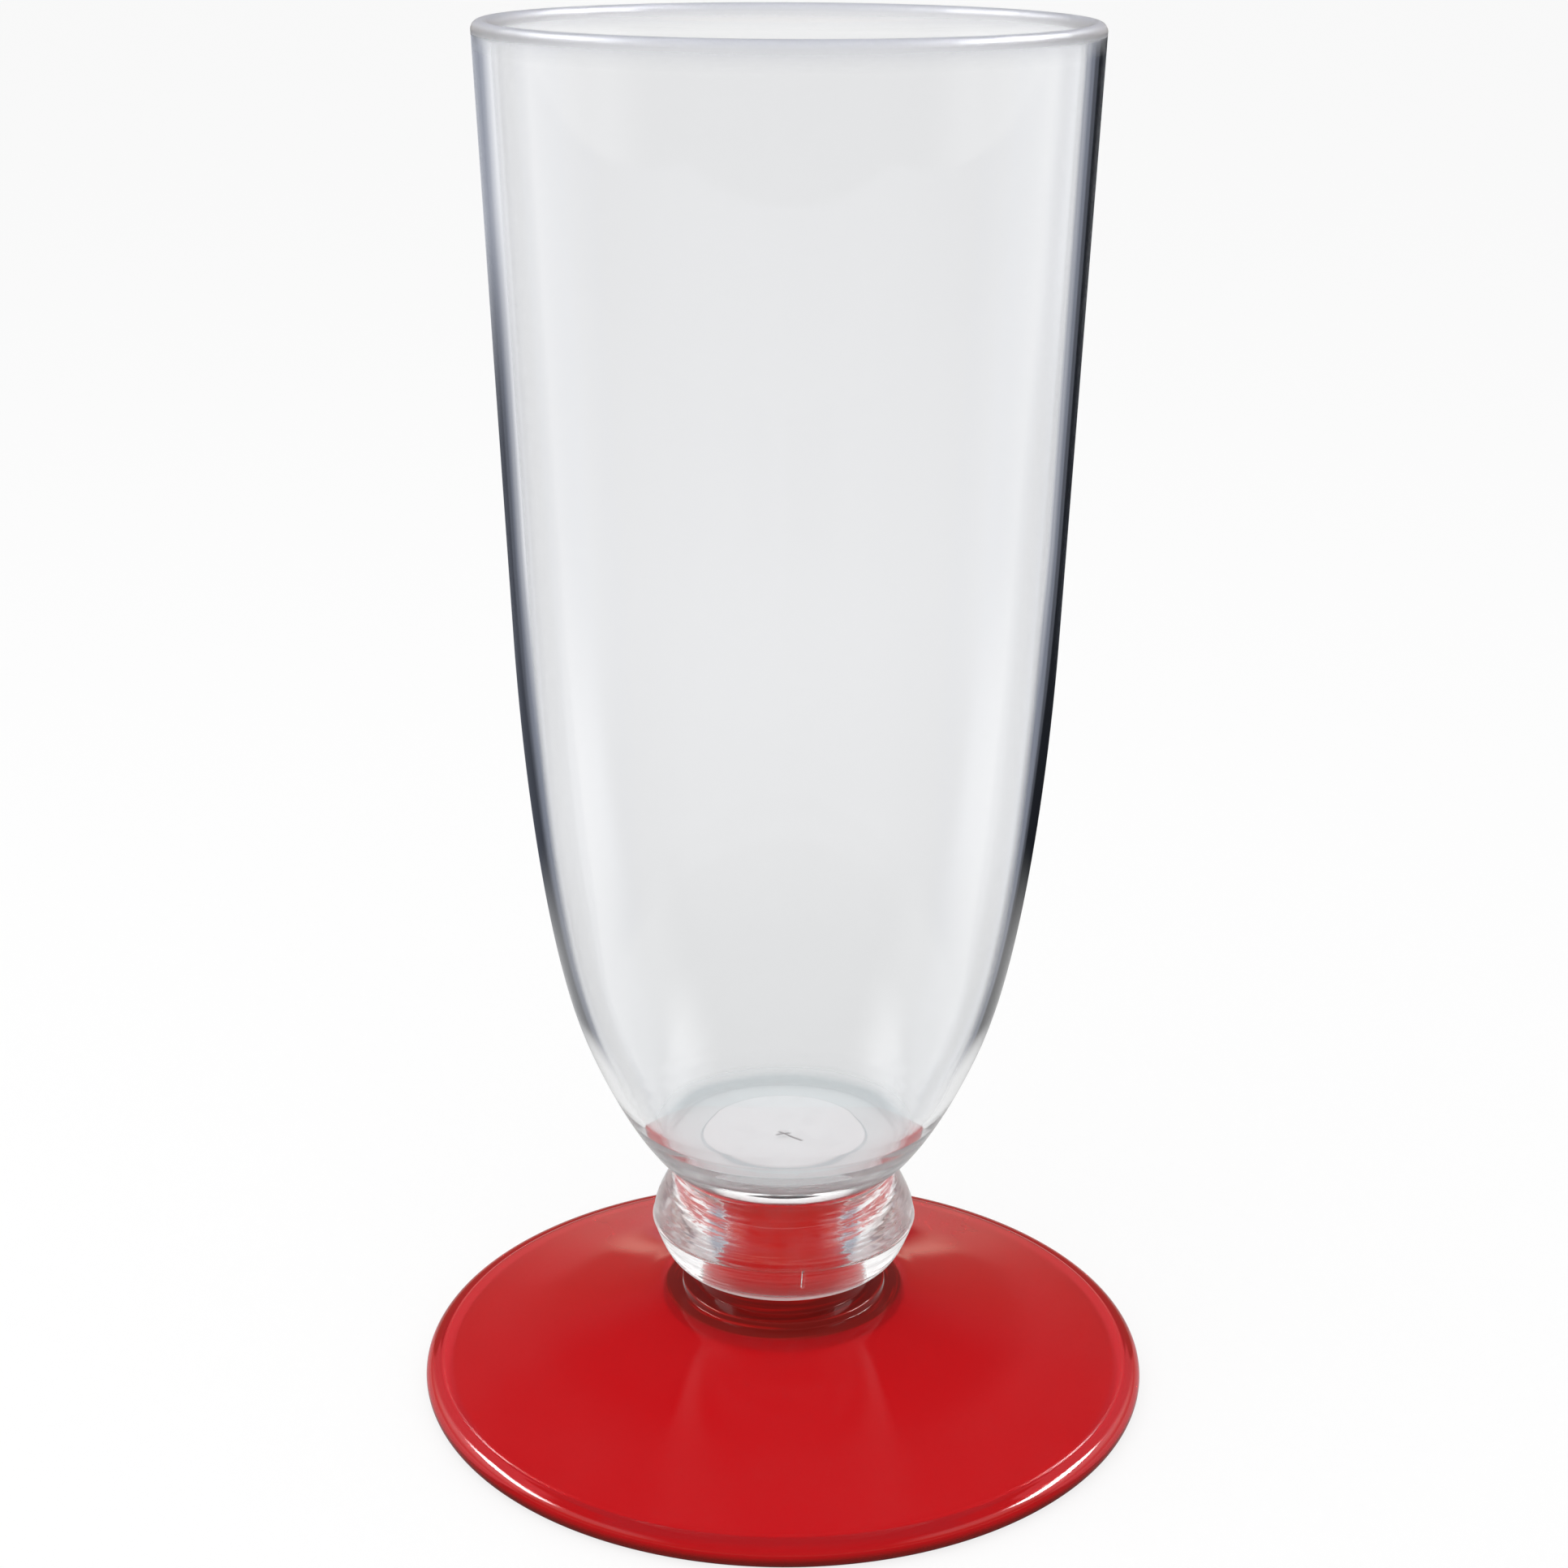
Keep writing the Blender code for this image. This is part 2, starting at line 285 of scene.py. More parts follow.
def section(node):
    """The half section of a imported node, as rows of (radius, height).

    It is the corners of the node's mesh in the half-plane y = 0, x >= 0, in order along the edges that join
    them. A disc has no corner in its middle, so a section with two ends is carried on to the axis at both.
    """
    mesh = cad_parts[node].data
    corners = np.empty(3 * len(mesh.vertices))
    mesh.vertices.foreach_get("co", corners)
    corners = corners.reshape(-1, 3)
    edges = np.empty(2 * len(mesh.edges), dtype=int)
    mesh.edges.foreach_get("vertices", edges)
    edges = edges.reshape(-1, 2)
    cut = (np.abs(corners[:, 1]) < GRAIN) & (corners[:, 0] > -GRAIN)
    points, place = np.unique(np.round(corners[:, (0, 2)] / GRAIN), axis=0, return_inverse=True)
    edges = place.reshape(-1)[edges[cut[edges].all(axis=1)]]
    edges = np.unique(np.sort(edges[edges[:, 0] != edges[:, 1]], axis=1), axis=0)
    ends = np.flatnonzero(np.bincount(edges.ravel()) == 1)
    order = [ends[0] if len(ends) else edges[0, 0]]
    ahead = [order[0]]
    while ahead:
        touching = edges[(edges == order[-1]).any(axis=1)].ravel()
        ahead = [point for point in touching if point not in order]
        order += ahead[:1]
    rows = points[order] * GRAIN
    if len(ends):
        rows = np.vstack([rows[:1] * (0, 1), rows, rows[-1:] * (0, 1)])
    # Outward faces: the section runs with the solid on its left
    around = np.roll(rows, -1, axis=0)
    area = np.sum(rows[:, 0] * around[:, 1] - around[:, 0] * rows[:, 1])
    return rows if area > 0 else rows[::-1]


def directions(steps):
    """Unit vectors along steps, and the steps' lengths."""
    lengths = np.linalg.norm(steps, axis=1, keepdims=True)
    return steps / lengths, lengths


def eased(rows, closed, rounding, row_length, row_turn=ROW_TURN):
    """A section with smooth curves and rounded corners.

    A point where the section turns by more than CORNER is a corner. It is cut into two points, each a
    rounding away along its side, and the stretch between them becomes a round. Elsewhere the direction at a
    point is the mean of its two sides, the shorter counting more, or the longer side's own where that one is
    much longer, because it is straight. Every stretch is then a cubic Hermite curve between the directions
    at its ends, with a row for each row_turn that it turns and for each row_length along it.
    """
    if closed:
        rows = np.vstack([rows[-1:], rows, rows[:1]])
    sides, lengths = directions(np.diff(rows, axis=0))
    turn = np.abs(np.arctan2(
        sides[:-1, 0] * sides[1:, 1] - sides[:-1, 1] * sides[1:, 0],
        np.sum(sides[:-1] * sides[1:], axis=1),
    ))
    corner = turn > CORNER
    before, after = sides[:-1], sides[1:]
    length_in, length_out = lengths[:-1], lengths[1:]
    mean, _ = directions(before * length_out + after * length_in)
    mean = np.where(length_out > LONG_SIDE * length_in, after, mean)
    mean = np.where(length_in > LONG_SIDE * length_out, before, mean)
    inner = rows[1:-1]
    cut_in = np.minimum(rounding, ROUND_SHARE * length_in)
    cut_out = np.minimum(rounding, ROUND_SHARE * length_out)
    pairs = np.stack([inner - before * cut_in, inner + after * cut_out], axis=1)
    ways = np.stack([before, after], axis=1)
    pairs[~corner] = inner[~corner][:, None]
    ways[~corner] = mean[~corner][:, None]
    keep = np.stack([np.ones_like(corner), corner], axis=1).ravel()
    points = pairs.reshape(-1, 2)[keep]
    ways = ways.reshape(-1, 2)[keep]
    if closed:
        points = np.vstack([points, points[:1]])
        ways = np.vstack([ways, ways[:1]])
    else:
        points = np.vstack([rows[:1], points, rows[-1:]])
        ways = np.vstack([sides[:1], ways, sides[-1:]])
    chord = np.linalg.norm(np.diff(points, axis=0), axis=1)
    bend = np.abs(np.arccos(np.clip(np.sum(ways[:-1] * ways[1:], axis=1), -1, 1)))
    count = np.maximum(np.ceil(bend / row_turn), np.ceil(chord / row_length)).astype(int)
    count = np.maximum(count, 1)
    stretch = np.repeat(np.arange(len(count)), count)
    first = np.repeat(np.cumsum(count) - count, count)
    t = ((np.arange(len(stretch)) - first) / count[stretch])[:, None]
    start, end = points[stretch], points[stretch + 1]
    pull = chord[stretch][:, None]
    curve = (
        (2 * t ** 3 - 3 * t ** 2 + 1) * start
        + (t ** 3 - 2 * t ** 2 + t) * pull * ways[stretch]
        + (3 * t ** 2 - 2 * t ** 3) * end
        + (t ** 3 - t ** 2) * pull * ways[stretch + 1]
    )
    return curve if closed else np.vstack([curve, points[-1:]])


def denser(rows, near, reach, step):
    """An open section with more rows round one place: a row each step, up to reach either way from near.

    The new rows lie on the straight stretches between the old ones, at even lengths along the section. An old
    row that is very close to a new one is left out.
    """
    along = np.concatenate([[0.0], np.cumsum(np.linalg.norm(np.diff(rows, axis=0), axis=1))])
    middle = along[np.argmin(np.linalg.norm(rows - near, axis=1))]
    extra = middle + np.arange(-reach, reach + step / 2, step)
    extra = extra[(extra > 0) & (extra < along[-1])]
    kept = along[np.abs(along[:, None] - extra[None, :]).min(axis=1) > ROW_CLEAR * step]
    kept = np.union1d(kept, along[[0, -1]])
    places = np.union1d(kept, extra)
    radius = np.interp(places, along, rows[:, 0])
    height = np.interp(places, along, rows[:, 1])
    return np.stack([radius, height], axis=1)


def new_object(name, data):
    """A new object in the scene, at the origin."""
    made = bpy.data.objects.new(name, data)
    bpy.context.scene.collection.objects.link(made)
    return made


def turned(name, rows, closed, angles, relief):
    """A section turned about the Z axis: the point at (row, angle a) is (r cos a, r sin a, z).

    relief takes the grid's radius, angle and height and returns how far each point moves along its normal. An
    open section starts and ends on the axis, in one point each.
    """
    ring = rows if closed else rows[1:-1]
    steps = len(angles)
    angle = np.repeat(angles[None, :], len(ring), axis=0)
    radius = np.repeat(ring[:, :1], steps, axis=1)
    height = np.repeat(ring[:, 1:], steps, axis=1)
    around = (np.roll(rows, -1, 0) - np.roll(rows, 1, 0)) if closed else (rows[2:] - rows[:-2])
    way, _ = directions(around)
    lift = relief(radius, angle, height)
    radius = radius + lift * way[:, 1:]
    height = height - lift * way[:, :1]
    grid = np.stack([radius * np.cos(angle), radius * np.sin(angle), height], axis=-1)
    points = grid.reshape(-1, 3)
    index = np.arange(len(points)).reshape(len(ring), steps)
    here = index if closed else index[:-1]
    above = np.roll(index, -1, axis=0) if closed else index[1:]
    quads = np.stack([here, np.roll(here, -1, 1), np.roll(above, -1, 1), above], axis=-1)
    faces = quads.reshape(-1, 4).tolist()
    if not closed:
        poles = np.array([[0.0, 0.0, rows[0, 1]], [0.0, 0.0, rows[-1, 1]]])
        first = np.full(steps, len(points))
        last = first + 1
        points = np.vstack([points, poles])
        faces += np.stack([first, np.roll(index[0], -1), index[0]], axis=-1).tolist()
        faces += np.stack([last, index[-1], np.roll(index[-1], -1)], axis=-1).tolist()
    mesh = bpy.data.meshes.new(name)
    mesh.from_pydata(points.tolist(), [], faces)
    mesh.shade_smooth()
    mesh.update()
    return new_object(name, mesh)


def add(tree, kind, sockets, **options):
    """A new shader node.

    sockets gives its inputs, constants or other nodes' outputs, and options its settings.
    """
    node = tree.nodes.new("ShaderNode" + kind)
    for name, value in options.items():
        setattr(node, name, value)
    for name, value in sockets.items():
        if isinstance(value, bpy.types.NodeSocket):
            tree.links.new(value, node.inputs[name])
        else:
            node.inputs[name].default_value = value
    return node


def sums(tree, operation, a, b=0.0):
    """One step of arithmetic on two values."""
    return add(tree, "Math", {0: a, 1: b}, operation=operation).outputs[0]


def ramp(tree, value, low, high, at_low=0.0, at_high=1.0):
    """A smooth step of a value, from at_low where it is low to at_high where it is high.

    low may be the larger of the two.
    """
    if low > high:
        low, high, at_low, at_high = high, low, at_high, at_low
    sockets = {"Value": value, "From Min": low, "From Max": high, "To Min": at_low, "To Max": at_high}
    return add(tree, "MapRange", sockets, interpolation_type="SMOOTHSTEP").outputs["Result"]


def band(tree, value, rise, fall, level):
    """A level that is reached over a value's rise and lost again over its fall, both smooth steps."""
    return sums(tree, "MULTIPLY", ramp(tree, value, *rise), ramp(tree, value, *fall, 0.0, level))


def blend(tree, share, first, second):
    """A colour between two colours."""
    return add(tree, "MixRGB", {0: share, 1: first, 2: second}).outputs[0]


def noise(tree, place, scale=1.0, detail=2.0):
    """Soft noise from 0 to 1 over places; scale is how many grains there are along one unit of them."""
    return add(tree, "TexNoise", {"Vector": place, "Scale": scale, "Detail": detail}).outputs[0]


def stretched(tree, place, scales):
    """Places scaled along X, Y and Z."""
    return add(tree, "Mapping", {"Vector": place, "Scale": scales}).outputs[0]


def bump(tree, shader, relief, strength, depth):
    """Give a shader's surface a fine relief, a value from 0 to 1 that stands for a depth in metres."""
    made = add(tree, "Bump", {"Strength": strength, "Distance": depth, "Height": relief})
    tree.links.new(made.outputs[0], shader.inputs["Normal"])


def turned_places(tree):
    """A material's own places on a turned piece: the point, its distance from the axis and its height."""
    place = add(tree, "TexCoord", {}).outputs["Object"]
    flat = add(tree, "VectorMath", {0: place, 1: LEVEL_PLANE}, operation="MULTIPLY").outputs[0]
    reach = add(tree, "VectorMath", {0: flat}, operation="LENGTH").outputs["Value"]
    height = add(tree, "SeparateXYZ", {0: place}).outputs["Z"]
    return place, reach, height


def keep_values(piece, name, values):
    """Keep one value a point with a piece's mesh, for its finish to read."""
    piece.data.attributes.new(name, "FLOAT", "POINT").data.foreach_set("value", values.astype(np.float32))


BOWL = eased(section("bowl"), False, EDGE_ROUND, BOWL_ROW)
KNOP = eased(section("knop"), True, KNOP_ROUND, KNOP_ROW)
BASE = eased(section("base"), False, EDGE_ROUND, BASE_ROW, BASE_TURN)

# Places on the pieces
POST_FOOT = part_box("knop")[0].z - POST_BELOW
KNOP_BORE = KNOP[:, 0].min()
KNOP_SEAT = KNOP[:, 1].min()
WAIST_HEIGHT = KNOP[np.argmax(KNOP[:, 0]), 1]
FLOOR_HEIGHT = max(BOWL[0, 1], BOWL[-1, 1])
RIM_HEIGHT = BOWL[:, 1].max()
SEAT_HEIGHT = BOWL[BOWL[:, 0] > SEAT_REACH, 1].min()
RIM_TOP = BASE[np.abs(BASE[:, 0] - RIM_LINE) < RIM_BREADTH, 1].max()

# The knop's bore is straight, so it needs few rows
KNOP = KNOP[(KNOP[:, 0] > KNOP_BORE + BORE_DEPTH) | (np.arange(len(KNOP)) % BORE_ROWS == 0)]

# The corner of the bowl's cavity, the gate mark and the line inside the foot's rim need many rows
BOWL = denser(BOWL, np.array([CORNER_MIDDLE, FLOOR_HEIGHT + CORNER_RISE]), *CORNER_ROWS)
BOWL = denser(BOWL, np.array([0.0, FLOOR_HEIGHT]), *GATE_ROWS)
BASE = denser(BASE, np.array([RIM_LINE, RIM_TOP]), *RIM_LINE_ROWS)

# The cavity's rows from the floor's middle up to the rim, and its wall alone
RIM_ROW = np.argmax(BOWL[:, 1])
CAVITY_FIRST = BOWL[0, 1] > BOWL[-1, 1]
CAVITY = BOWL[:RIM_ROW] if CAVITY_FIRST else BOWL[:RIM_ROW:-1]
CAVITY_WALL = CAVITY[CAVITY[:, 0] > CORNER_REACH]

# Angles of the grids, finer at the gate nick
EVEN = np.linspace(0.0, 2 * np.pi, TURN_STEPS, endpoint=False)
KNOP_EVEN = np.linspace(0.0, 2 * np.pi, KNOP_STEPS, endpoint=False)
NICK_ANGLES = NICK_ANGLE + np.linspace(-NICK_SPAN, NICK_SPAN, NICK_STEPS)
KNOP_ANGLES = np.union1d(KNOP_EVEN, np.mod(NICK_ANGLES, 2 * np.pi))


def knop_marks(radius, angle, height):
    """The marks on the outside of the knop.

    The parting line is a low ridge round the waist, and the gate nick a short upright ridge across it. The
    turning marks are waves along the height, each with a phase that drifts to and fro round the piece.
    """
    out = radius > KNOP_BORE + MARKS_OFF_BORE
    ridge = PARTING_RISE * np.exp(-((height - WAIST_HEIGHT) / PARTING_WIDTH) ** 2)
    aside = radius * np.angle(np.exp(1j * (angle - NICK_ANGLE)))
    upright = np.clip((height - WAIST_HEIGHT + NICK_BELOW) / MARK_TAPER, 0, 1)
    upright = upright * np.clip((WAIST_HEIGHT + NICK_ABOVE - height) / MARK_TAPER, 0, 1)
    nick = NICK_RISE * np.exp(-(aside / NICK_WIDTH) ** 2) * upright
    turning = np.zeros_like(radius)
    for wave, phase, drifts, drift in TURNING_WAVES:
        drifting = phase + drift * np.sin(drifts * angle + phase)
        turning += np.sin(2 * np.pi * height / (wave * MM) + drifting)
    return out * (ridge + nick + TURNING_RISE * turning)


def gate_cuts(x, y):
    """How far into the gate's cross cut and long scratch a place on the floor lies, from 0 to 1."""
    cut = np.zeros_like(x)
    for turn, back, ahead in GATE_CUTS:
        along = x * math.cos(turn) + y * math.sin(turn)
        aside = y * math.cos(turn) - x * math.sin(turn)
        run = np.clip((along + back) / MARK_TAPER, 0, 1)
        run = run * np.clip((ahead - along) / MARK_TAPER, 0, 1)
        cut = np.maximum(cut, run * np.exp(-(aside / GATE_CUT_WIDTH) ** 2))
    return cut


def cavity_marks(radius, angle, height):
    """The marks inside the bowl.

    The gate mark is a small stub in the middle of the floor, with the gate's cuts through it. The wall is a
    little thinner in a soft band above the floor's corner.
    """
    on_floor = (np.abs(height - FLOOR_HEIGHT) < MARK_TAPER) & (radius < GATE_REACH)
    stub = STUB_RISE * np.exp(-(radius / STUB_REACH) ** 2)
    gate = stub - GATE_CUT_DEPTH * gate_cuts(radius * np.cos(angle), radius * np.sin(angle))
    wall = np.interp(height, CAVITY_WALL[:, 1], CAVITY_WALL[:, 0])
    on_wall = (np.abs(radius - wall) < MARK_TAPER) & (radius > CORNER_REACH)
    on_wall = on_wall & (height > FLOOR_HEIGHT - MARK_TAPER)
    thinner = THIN_DEPTH * np.exp(-((height - FLOOR_HEIGHT - THIN_RISE) / THIN_SPREAD) ** 2)
    return on_floor * gate - on_wall * thinner


def rim_line(radius, angle, height):
    """The fine line round the top of the foot just inside its rolled rim, a shallow groove."""
    on_top = height > RIM_TOP - RIM_DROP
    return -RIM_LINE_DEPTH * on_top * np.exp(-((radius - RIM_LINE) / RIM_LINE_WIDTH) ** 2)


def keep_bowl_shares(piece):
    """How matt the bowl's plastic is at each point, and how far the point lies in the gate's cuts.

    The cavity's floor is matt, and so are the seat and the peg under the bowl. The corner round the floor is
    hazy, and so is the rim. The rest is clear.
    """
    radius, level = BOWL.T
    row = np.arange(len(BOWL))
    cavity = (row < RIM_ROW) if CAVITY_FIRST else (row > RIM_ROW)
    inside = np.interp(level, FLOOR_HEIGHT + HAZE_RISES, HAZE_SHARES)
    outside = np.interp(level, SEAT_HEIGHT + SEAT_RISES, SEAT_SHARES)
    share = np.where(cavity, inside, outside)
    share = np.maximum(share, np.interp(level, RIM_HEIGHT + RIM_RISES, RIM_SHARES))
    matt = np.concatenate([np.repeat(share[1:-1], TURN_STEPS), share[[0, -1]]])
    keep_values(piece, MATT_SHARE, matt)
    on_floor = cavity & (level < FLOOR_HEIGHT + MARK_TAPER) & (radius < GATE_REACH)
    reach = radius[:, None]
    cuts = on_floor[:, None] * gate_cuts(reach * np.cos(EVEN), reach * np.sin(EVEN))
    keep_values(piece, CUT_SHARE, np.concatenate([cuts[1:-1].ravel(), cuts[[0, -1], 0]]))


def plastic(name):
    """A material with one Principled shader, and its node tree."""
    made = bpy.data.materials.new(name)
    made.use_nodes = True
    tree = made.node_tree
    shader = tree.nodes["Principled BSDF"]
    shader.inputs["IOR"].default_value = PLASTIC_IOR
    return made, tree, shader


def bowl_plastic():
    """Clear plastic with a ripple from the mould, a pale haze where it is matt, and painted shade in the
    gate's cuts.

    The floor's haze carries painted shade: a little darker outside its round pad, and darker again in a thin
    line round the pad.
    """
    made, tree, shader = plastic("bowl_plastic_finish")
    place, reach, height = turned_places(tree)
    cloud = noise(tree, place, HAZE_GRAINS, CLOUD_DETAIL)
    matt = add(tree, "Attribute", {}, attribute_name=MATT_SHARE).outputs["Fac"]
    cut = add(tree, "Attribute", {}, attribute_name=CUT_SHARE).outputs["Fac"]
    haze = sums(tree, "MULTIPLY", matt, ramp(tree, cloud, *CLOUD_SPREAD, *HAZE_RANGE))
    haze = sums(tree, "MINIMUM", haze, 1.0)
    haze = sums(tree, "MAXIMUM", haze, cut)
    tree.links.new(sums(tree, "SUBTRACT", 1.0, haze), shader.inputs["Transmission Weight"])
    off_pad = ramp(tree, reach, PAD_REACH - PAD_EDGE, PAD_REACH + PAD_EDGE)
    off_shade_line = sums(tree, "ABSOLUTE", sums(tree, "SUBTRACT", reach, PAD_REACH))
    # Painted shade on the hazy rim, dark bluish grey
    rim = ramp(tree, height, *(RIM_HEIGHT + BOWL_RIM_SHADE_RISES))
    # Painted shade round the floor's pad
    hazy = blend(tree, off_pad, BOWL_MATT, BOWL_RING_SHADE)
    hazy = blend(tree, ramp(tree, off_shade_line, *PAD_SHADE_LINE_EDGE), hazy, PAD_SHADE_LINE)
    hazy = blend(tree, rim, hazy, BOWL_RIM_SHADE)
    # Painted grey shade, darker towards the bottom of the bowl
    colour = blend(tree, ramp(tree, height, *BOWL_LOW_SHADE_EDGE), BOWL_CLEAR, BOWL_LOW_SHADE)
    colour = blend(tree, matt, colour, hazy)
    # Painted shade in the gate's cuts
    colour = blend(tree, cut, colour, CUT_SHADE_GREY)
    tree.links.new(colour, shader.inputs["Base Color"])
    rough = ramp(tree, noise(tree, place, BOWL_GRAINS), *BOWL_SPREAD, *BOWL_ROUGH)
    rim_rough = ramp(tree, height, *(RIM_HEIGHT + RIM_ROUGH_RISES), 0.0, RIM_ROUGH)
    tree.links.new(sums(tree, "MAXIMUM", rough, rim_rough), shader.inputs["Roughness"])
    bump(tree, shader, noise(tree, stretched(tree, place, BOWL_RIPPLES)), *BOWL_BUMP)
    return made


def knop_plastic():
    """Clear plastic with uneven scuffs along its turning marks, a faint haze, and a pale matt edge at its
    seat that is a painted highlight.
    """
    made, tree, shader = plastic("knop_plastic_finish")
    place, _, height = turned_places(tree)
    shader.inputs["Base Color"].default_value = KNOP_CLEAR
    clear = ramp(tree, noise(tree, place, KNOP_GRAINS), *CLOUD_SPREAD, *KNOP_HAZE)
    # Painted highlight at the seat, a pale matt edge
    seat_highlight = ramp(tree, height, *(KNOP_SEAT + KNOP_SEAT_HIGHLIGHT_RISES), 0.0, KNOP_SEAT_HIGHLIGHT_HAZE)
    tree.links.new(sums(tree, "SUBTRACT", clear, seat_highlight), shader.inputs["Transmission Weight"])
    scuffs = stretched(tree, place, KNOP_SCUFFS)
    rough = ramp(tree, noise(tree, scuffs), *KNOP_SPREAD, *KNOP_ROUGH)
    tree.links.new(rough, shader.inputs["Roughness"])
    bump(tree, shader, noise(tree, scuffs, detail=MARK_DETAIL), *KNOP_BUMP)
    return made


def foot_plastic():
    """Translucent red plastic, duller on the outer cone, with painted shade that makes it browner in the rim
    and darker under it.

    The thick hub carries painted shade, dark with uneven rings, and it lets little light through, like the
    post.
    """
    made, tree, shader = plastic("foot_plastic_finish")
    shader.inputs["Specular IOR Level"].default_value = FOOT_GLOSS
    place, reach, height = turned_places(tree)
    post = ramp(tree, height, POST_FOOT, POST_FOOT + POST_EDGE)
    hub = ramp(tree, reach, HUB_REACH + HUB_EDGE, HUB_REACH)
    hub = sums(tree, "MULTIPLY", hub, sums(tree, "SUBTRACT", 1.0, post))
    rim = ramp(tree, reach, *(RIM_LINE + RIM_SHADE_EDGE))
    skirt_shade = sums(tree, "MULTIPLY", rim, ramp(tree, height, *SKIRT_SHADE_EDGE))
    rings = add(tree, "CombineXYZ", {"X": reach, "Y": height}).outputs[0]
    rings = add(tree, "VectorMath", {0: rings, 1: HUB_RINGS}, operation="MULTIPLY").outputs[0]
    rings = add(tree, "VectorMath", {0: place, 1: HUB_DRIFT, 2: rings}, operation="MULTIPLY_ADD").outputs[0]
    shade_streak = ramp(tree, noise(tree, rings, detail=MARK_DETAIL), *HUB_SPREAD)
    # Painted shade in the rim, and darker painted shade on the skirt under it
    colour = blend(tree, rim, FOOT_RED, RIM_SHADE_RED)
    colour = blend(tree, skirt_shade, colour, SKIRT_SHADE_RED)
    colour = blend(tree, post, colour, POST_RED)
    # Painted shade over the hub, dark with uneven rings
    colour = blend(tree, hub, colour, blend(tree, shade_streak, HUB_SHADE_DARK, HUB_SHADE_RED))
    tree.links.new(colour, shader.inputs["Base Color"])
    thick = sums(tree, "MAXIMUM", post, hub)
    clear = ramp(tree, thick, 0.0, 1.0, FOOT_CLEAR, HUB_CLEAR)
    tree.links.new(clear, shader.inputs["Transmission Weight"])
    cone = sums(tree, "MULTIPLY", ramp(tree, reach, *CONE_ROUGH_EDGE), sums(tree, "SUBTRACT", 1.0, rim))
    rough = ramp(tree, noise(tree, place, FOOT_GRAINS, CLOUD_DETAIL), *CLOUD_SPREAD, *FOOT_ROUGH)
    rough = sums(tree, "ADD", rough, sums(tree, "MULTIPLY", cone, CONE_ROUGH))
    tree.links.new(rough, shader.inputs["Roughness"])
    bump(tree, shader, noise(tree, place, FOOT_RIPPLES), *FOOT_BUMP)
    return made


def mirrored_shares(tree, path):
    """Whether a ray was mirrored and went through plastic too, and whether it was mirrored alone, as 0 or 1.

    Both are 0 for a ray that comes straight or only refracted, and after a matt surface.
    """
    mirrored = sums(tree, "MINIMUM", path.outputs["Glossy Depth"], 1.0)
    plain = sums(tree, "LESS_THAN", path.outputs["Diffuse Depth"], NO_BOUNCE)
    mirrored = sums(tree, "MULTIPLY", mirrored, plain)
    within = sums(tree, "MINIMUM", path.outputs["Transmission Depth"], 1.0)
    inner = sums(tree, "MULTIPLY", mirrored, within)
    return inner, sums(tree, "SUBTRACT", mirrored, inner)


def card_tones(tree, bearing, tones):
    """A grey that goes by the bearing, bluer where it is darker; tones lists bearings and their greys."""
    low, high = tones[0][0], tones[-1][0]
    ends = {"Value": bearing, "From Min": math.radians(low), "From Max": math.radians(high)}
    cards = add(tree, "ValToRGB", {0: add(tree, "MapRange", ends).outputs["Result"]})
    stops = cards.color_ramp.elements
    while len(stops) < len(tones):
        stops.new(1.0)
    for stop, (degrees, tone) in zip(stops, tones):
        stop.position = (degrees - low) / (high - low)
        red = CARD_RED + (1.0 - CARD_RED) * tone
        blue = CARD_BLUE + (1.0 - CARD_BLUE) * tone
        stop.color = (tone * red, tone, tone * blue, 1.0)
    return cards.outputs[0]


